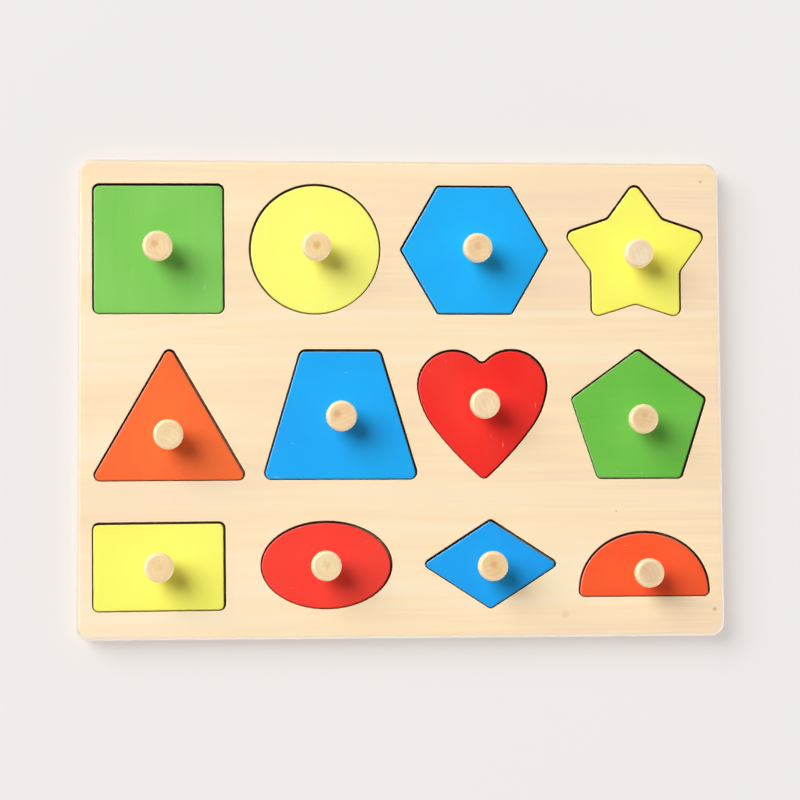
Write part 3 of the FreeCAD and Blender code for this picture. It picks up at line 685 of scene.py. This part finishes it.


# Pieces: water-based toy paint, sprayed thin and dried to a satin. It is a little uneven, the wood's
# grain shows faintly through it, dust nibs sit in it, the rounded edges are paler and chalky, partly as
# wear and partly as a painted highlight, and the underside is bare but for overspray.
paintLook = {
    "cloudLength": 42 * millimetre,
    "cloudWidth": 30 * millimetre,
    "cloudDetail": 1.0,
    "grainLength": 34 * millimetre,
    "grainWidth": 3.0 * millimetre,
    "grainDetail": 2.0,
    "grainShare": 0.18,
    "patternSpan": 50,  # each piece's pattern starts somewhere within this
    # where in that pattern the coat is thickest and thinnest, and by how much
    "thickFrom": 0.35,
    "thinFrom": 0.65,
    "unevenShare": 0.18,
    "nibTone": "#FFFFFF",
    "nibLength": 3.6 * millimetre,
    "nibWidth": 1.1 * millimetre,
    "nibDetail": 0.0,
    "nibFrom": 0.86,
    "nibTo": 0.90,
    "nibShare": 0.15,
    "nibRise": 2.0,  # how far the nibs stand up, next to the grain
    # the chalky wear and painted highlight grow from the face to the rounding, and stop short of the
    # upright edge
    "wearAndSheenTone": "#CFC9BE",
    "wearAndSheenFromTilt": 0.995,
    "wearAndSheenToTilt": 0.88,
    "uprightTilt": 0.2,
    "roundedTilt": 0.6,
    # on the underside, facing more than this far down, the wood shows through the overspray
    "bareTone": "#E8CFA6",
    "downFacing": -0.6,
    "sprayFrom": 0.45,
    "sprayTo": 0.7,
    "mostBare": 1.0,
    "leastBare": 0.6,
    "roughness": 0.42,
    "gloss": 0.35,
    "reliefStrength": 0.15,
    "reliefHeight": 0.1 * millimetre,
}
# Each paint where it is thin, where it is thick, and how pale and chalky its rounded edges are, as wear
# and painted highlight
paints = {
    "green": ("#8AD463", "#67BE42", 0.22),
    "yellow": ("#FFFF7A", "#FEFB66", 0.2),
    "blue": ("#10B4FD", "#119EF2", 0.17),
    "red": ("#FA4434", "#F2251D", 0.05),
    "orange": ("#FC7131", "#FB5129", 0.22),
}
# Each piece's paint, how thick its coat came out, from 0 to 1, and the way its wood runs in degrees
coats = {
    "square": ("green", 0.4, 90), "circle": ("yellow", 0.15, 0), "hexagon": ("blue", 0.2, 10),
    "star": ("yellow", 0.9, 0), "triangle": ("orange", 0.15, 60), "trapezium": ("blue", 0.4, 0),
    "heart": ("red", 0.85, 90), "pentagon": ("green", 0.85, 0), "rectangle": ("yellow", 0.75, 0),
    "oval": ("red", 0.15, 0), "rhombus": ("blue", 0.8, 30), "semicircle": ("orange", 0.8, 0),
}


def makePaint(shape):
    paint, thickness, grainTurn = coats[shape]
    thinColour, thickColour, wearAndSheenShare = paints[paint]
    material, tree = newMaterial(f"satin {paint} toy paint, {shape}")
    look = paintLook
    low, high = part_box(f"{shape}_piece")
    coordinates = addNode(tree, "ShaderNodeTexCoord").outputs
    normal = addNode(tree, "ShaderNodeSeparateXYZ", Vector=coordinates["Normal"]).outputs
    tilt = addNode(tree, "ShaderNodeMath", {"operation": "ABSOLUTE"}, n0=normal["Z"])
    centred = addNode(tree, "ShaderNodeMapping", {"vector_type": "TEXTURE"},
                      Vector=coordinates["Object"], Location=(low + high) / 2,
                      Rotation=(0, 0, math.radians(grainTurn)))
    pattern = {}
    for name in ("cloud", "grain", "nib"):
        start = (random.uniform(0, look["patternSpan"]), random.uniform(0, look["patternSpan"]), 0)
        pattern[name] = grainNoise(tree, look, name, centred, start)
    # thicker and thinner places
    mixed = addNode(tree, "ShaderNodeMix", numberMix, Factor=look["grainShare"], A=pattern["cloud"],
                    B=pattern["grain"])
    share = addNode(tree, "ShaderNodeMapRange", {"clamp": False}, Value=mixed,
                    From_Min=look["thickFrom"], From_Max=look["thinFrom"],
                    To_Min=thickness + look["unevenShare"], To_Max=thickness - look["unevenShare"])
    coat = addNode(tree, "ShaderNodeMix", {"data_type": "RGBA", "clamp_factor": False}, Factor=share,
                   A=thinColour, B=thickColour)
    nibs = addNode(tree, "ShaderNodeMapRange", softRise, Value=pattern["nib"], From_Min=look["nibFrom"],
                   From_Max=look["nibTo"], To_Max=look["nibShare"])
    coat = addNode(tree, "ShaderNodeMix", colourMix, Factor=nibs, A=coat, B=look["nibTone"])
    # chalky rounded edges, partly wear and partly a painted highlight
    rounding = addNode(tree, "ShaderNodeMapRange", softRise, Value=tilt, From_Min=look["wearAndSheenFromTilt"],
                       From_Max=look["wearAndSheenToTilt"], To_Max=wearAndSheenShare)
    fading = addNode(tree, "ShaderNodeMapRange", softRise, Value=tilt, From_Min=look["uprightTilt"],
                     From_Max=look["roundedTilt"])
    edgeTint = addNode(tree, "ShaderNodeMath", {"operation": "MULTIPLY"}, n0=rounding, n1=fading)
    coat = addNode(tree, "ShaderNodeMix", colourMix, Factor=edgeTint, A=coat, B=look["wearAndSheenTone"])
    # underside
    facesDown = addNode(tree, "ShaderNodeMath", {"operation": "LESS_THAN"}, n0=normal["Z"],
                        n1=look["downFacing"])
    spray = addNode(tree, "ShaderNodeMapRange", Value=pattern["cloud"], From_Min=look["sprayFrom"],
                    From_Max=look["sprayTo"], To_Min=look["mostBare"], To_Max=look["leastBare"])
    bare = addNode(tree, "ShaderNodeMath", {"operation": "MULTIPLY"}, n0=facesDown, n1=spray)
    coat = addNode(tree, "ShaderNodeMix", colourMix, Factor=bare, A=coat, B=look["bareTone"])
    height = addNode(tree, "ShaderNodeMath", {"operation": "MULTIPLY_ADD"}, n0=nibs,
                     n1=look["nibRise"], n2=pattern["grain"])
    finishSurface(tree, look, coat, height)
    return material


# Knobs: turned beech, sanded and left bare. The end grain on top is warmer than the sides and has the
# lathe's rings round its middle, and the sides have short fine streaks.
knobWood = {
    "sideStreak": "#D6C194",
    "sideTone": "#E3D2AB",
    "streakStop": 0.35,
    "sideStop": 0.6,
    "fibreWidth": 0.5 * millimetre,
    "fibreLength": 7 * millimetre,
    "fibreDetail": 2.0,
    # growth rings round a heart that lies outside the knob, so many head radii away
    "heartDistance": 2.2,
    "ringGap": 2.3 * millimetre,
    "ringSway": 2.4 * millimetre,
    "wanderWidth": 4.6 * millimetre,
    "wanderDetail": 1.0,
    # the lathe's rings, as strong as this next to the growth rings, and how far both change the tone
    "markGap": 1.7 * millimetre,
    "markShare": 0.8,
    "ringContrast": 0.05,
    "pithTone": "#D9954F",
    "blotchWidth": 6.57 * millimetre,
    "blotchDetail": 2.0,
    "blotchFrom": 0.45,
    "blotchTo": 0.75,
    "blotchShare": 0.35,
    "outerTone": "#F1D8AC",
    "outerShare": 0.6,
    # the pith spot's reach and its full core, as shares of the head's radius
    "pithReach": 0.4,
    "pithCore": 0.06,
    # the rounded rim changes from side grain to end grain between these upward facings
    "sideFacing": 0.72,
    "endFacing": 0.93,
    "roughness": 0.42,
    "gloss": 0.4,
    "reliefStrength": 0.2,
    "reliefHeight": 0.06 * millimetre,
}
# The end grain's tone on each knob, where its pith spot lies, how strong that is, and where the tone
# passes into that of the outer ring, with both places as shares of the head's radius
knobEnds = {
    "square": ("#F5D9A6", (-0.2, 0.1), 0.5, (0.4, 0.9)),
    "circle": ("#F6DA9C", (0.0, 0.0), 0.6, (0.3, 0.9)),
    "hexagon": ("#F2D2A2", (0.0, 0.05), 0.4, (0.5, 0.9)),
    "star": ("#F5E1BF", (0.1, 0.0), 0.1, (0.5, 0.95)),
    "triangle": ("#F5DBAB", (0.0, 0.2), 0.1, (0.4, 0.9)),
    "trapezium": ("#F3D2A2", (-0.3, 0.1), 0.6, (0.4, 0.9)),
    "heart": ("#F8DDB5", (0.0, 0.1), 0.1, (0.4, 0.9)),
    "pentagon": ("#EACA9B", (0.0, 0.25), 0.35, (0.4, 0.9)),
    "rectangle": ("#F8DBA3", (0.0, 0.0), 0.15, (0.4, 0.95)),
    "oval": ("#F7E3B0", (0.0, 0.1), 0.3, (0.2, 0.8)),
    "rhombus": ("#EFCD9A", (0.0, 0.1), 0.6, (0.55, 0.9)),
    "semicircle": ("#E7C8A1", (0.1, 0.05), 0.1, (0.6, 0.72)),
}


def knobEndGrain(tree, shape, dowel, place):
    # growth rings and the lathe's rings, a few ruddy blotches, an even outer ring and the pith spot
    endTone, pithShares, pithStrength, fadeShares = knobEnds[shape]
    look = knobWood
    apart = addNode(tree, "ShaderNodeSeparateXYZ", Vector=dowel).outputs
    flat = addNode(tree, "ShaderNodeCombineXYZ", X=apart["X"], Y=apart["Y"])
    radius = addNode(tree, "ShaderNodeVectorMath", {"operation": "LENGTH"}, n0=flat)
    away = random.uniform(0, 2 * math.pi)
    heartRadius = headRadius * look["heartDistance"]
    heart = (math.cos(away) * heartRadius, math.sin(away) * heartRadius, 0)
    fromHeart = addNode(tree, "ShaderNodeVectorMath", {"operation": "DISTANCE"}, n0=flat, n1=heart)
    wander = addNode(tree, "ShaderNodeTexNoise", Vector=dowel, Scale=1 / look["wanderWidth"],
                     Detail=look["wanderDetail"])
    rings = swayingRings(tree, fromHeart, wander, look["ringSway"], look["ringGap"])
    marks = swayingRings(tree, radius, wander, look["ringSway"], look["markGap"])
    both = addNode(tree, "ShaderNodeMath", {"operation": "MULTIPLY_ADD"}, n0=marks,
                   n1=look["markShare"], n2=rings)
    most = 1 + look["markShare"]
    bright = addNode(tree, "ShaderNodeMapRange", Value=both, From_Min=-most, From_Max=most,
                     To_Min=1 - look["ringContrast"], To_Max=1 + look["ringContrast"])
    tone = addNode(tree, "ShaderNodeMix", {"data_type": "RGBA", "blend_type": "MULTIPLY"}, Factor=1.0,
                   A=endTone, B=bright)
    blotch = addNode(tree, "ShaderNodeTexNoise", Vector=dowel, Scale=1 / look["blotchWidth"],
                     Detail=look["blotchDetail"])
    blotch = addNode(tree, "ShaderNodeMapRange", Value=blotch, From_Min=look["blotchFrom"],
                     From_Max=look["blotchTo"], To_Max=look["blotchShare"])
    tone = addNode(tree, "ShaderNodeMix", colourMix, Factor=blotch, A=tone, B=look["pithTone"])
    outward = addNode(tree, "ShaderNodeMapRange", softRise, Value=radius,
                      From_Min=headRadius * fadeShares[0], From_Max=headRadius * fadeShares[1],
                      To_Max=look["outerShare"])
    tone = addNode(tree, "ShaderNodeMix", colourMix, Factor=outward, A=tone, B=look["outerTone"])
    low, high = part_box(f"{shape}_knob")
    pith = ((low.x + high.x) / 2 + pithShares[0] * headRadius,
            (low.y + high.y) / 2 + pithShares[1] * headRadius, high.z)
    fromPith = addNode(tree, "ShaderNodeVectorMath", {"operation": "DISTANCE"}, n0=place, n1=pith)
    spot = addNode(tree, "ShaderNodeMapRange", softRise, Value=fromPith,
                   From_Min=headRadius * look["pithReach"], From_Max=headRadius * look["pithCore"],
                   To_Max=pithStrength)
    return addNode(tree, "ShaderNodeMix", colourMix, Factor=spot, A=tone, B=look["pithTone"])


def makeKnobWood(shape):
    material, tree = newMaterial(f"turned bare beech, {shape}")
    look = knobWood
    dowel = addNode(tree, "ShaderNodeAttribute", {"attribute_name": "dowel"}).outputs["Vector"]
    coordinates = addNode(tree, "ShaderNodeTexCoord").outputs
    normal = addNode(tree, "ShaderNodeSeparateXYZ", Vector=coordinates["Normal"]).outputs
    # side grain, with fibres along the dowel
    across, along = 1 / look["fibreWidth"], 1 / look["fibreLength"]
    fibrePlace = addNode(tree, "ShaderNodeMapping", Vector=dowel, Scale=(across, across, along))
    fibres = addNode(tree, "ShaderNodeTexNoise", Vector=fibrePlace, Scale=1.0,
                     Detail=look["fibreDetail"])
    stops = [(look["streakStop"], look["sideStreak"]), (look["sideStop"], look["sideTone"])]
    sideGrain = addNode(tree, "ShaderNodeValToRGB", {"stops": stops}, Fac=fibres)
    facing = addNode(tree, "ShaderNodeMapRange", softRise, Value=normal["Z"], From_Min=look["sideFacing"],
                     From_Max=look["endFacing"])
    colour = addNode(tree, "ShaderNodeMix", colourMix, Factor=facing, A=sideGrain,
                     B=knobEndGrain(tree, shape, dowel, coordinates["Object"]))
    finishSurface(tree, look, colour, fibres)
    return material


nodes["frame_board"].material_slots[0].material = makeFrameWood()
nodes["backing_board"].material_slots[0].material = makeBackingWood()
for shape in shapes:
    nodes[f"{shape}_piece"].material_slots[0].material = makePaint(shape)
    knobs[shape].data.materials.clear()
    knobs[shape].data.materials.append(makeKnobWood(shape))
print("the board, the pieces and the knobs are finished")
